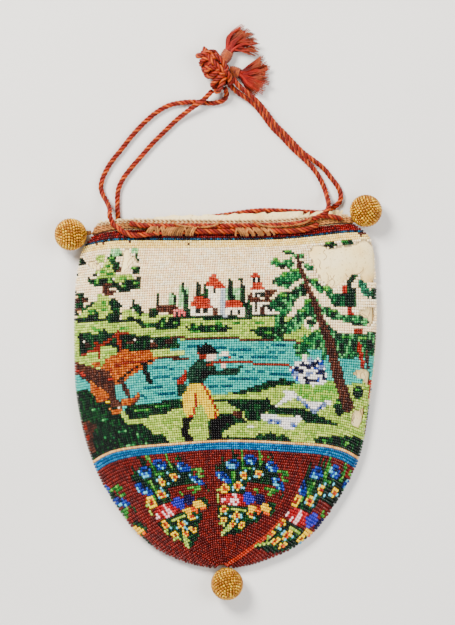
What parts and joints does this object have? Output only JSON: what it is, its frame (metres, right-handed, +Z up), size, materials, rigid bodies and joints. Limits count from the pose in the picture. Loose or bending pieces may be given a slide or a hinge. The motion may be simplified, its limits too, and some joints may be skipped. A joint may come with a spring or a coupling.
{
  "type": "beaded drawstring pouch",
  "caption": "Lined drawstring pouch knitted from glass seed beads with a landscape and flowers, a cord with frayed ends and gold beaded balls, lying on its back.",
  "frame": {"origin": "on the surface that the pouch lies on, under the middle of the box round the pouch and its three balls", "axes": "+Y from the foot to the mouth, +X to the right of the front, +Z up out of the front"},
  "size_m": [0.1642, 0.2883, 0.0203],
  "materials": {
    "beads": "knitted glass seed beads in many colours",
    "cotton": "plain woven cotton",
    "crochet": "crocheted thread",
    "gold_beads": "gilt beads over a wound core",
    "silk": "twisted silk cord"
  },
  "bodies": {
    "root": {"bead_shell": "beads", "lining": "cotton", "heading": "crochet", "ball_left": "gold_beads", "ball_right": "gold_beads", "ball_foot": "gold_beads", "cord_front_upper": "silk", "cord_front_lower": "silk", "cord_back_upper": "silk", "cord_back_lower": "silk", "cord_left_outer": "silk", "cord_left_inner": "silk", "cord_right_inner": "silk", "cord_right_outer": "silk", "knot": "silk", "tassel_upper": "silk", "tassel_lower": "silk"}
  },
  "joints": []
}
